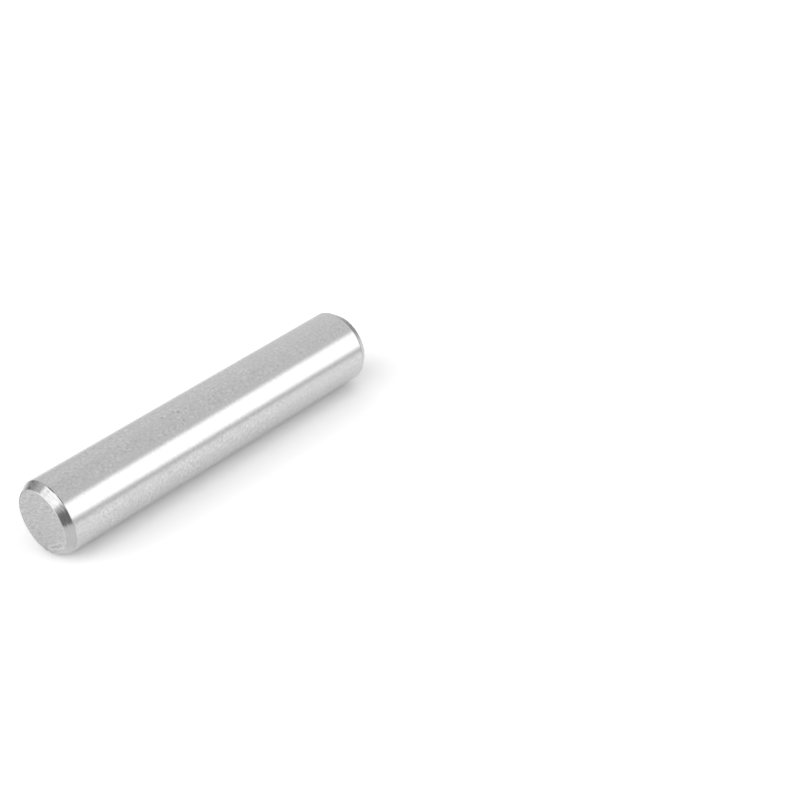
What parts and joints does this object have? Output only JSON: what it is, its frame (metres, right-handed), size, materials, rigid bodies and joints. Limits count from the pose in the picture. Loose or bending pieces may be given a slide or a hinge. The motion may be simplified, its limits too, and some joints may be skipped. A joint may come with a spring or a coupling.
{
  "type": "dowel pin",
  "caption": "Plain cylindrical steel dowel pin with a ground shank and turned chamfers, for locating drilled parts on each other.",
  "frame": {"origin": "centre of the lower end face, on which the pin stands", "axes": "+Z along the pin's axis, from the lower end face to the upper one; X and Y are alike, because the pin is round"},
  "size_m": [0.005, 0.005, 0.026],
  "materials": {
    "steel": "centreless-ground shank, turned chamfers, cut and lapped end faces, bare and bright"
  },
  "bodies": {
    "root": {"dowel_pin": "steel"}
  },
  "joints": []
}
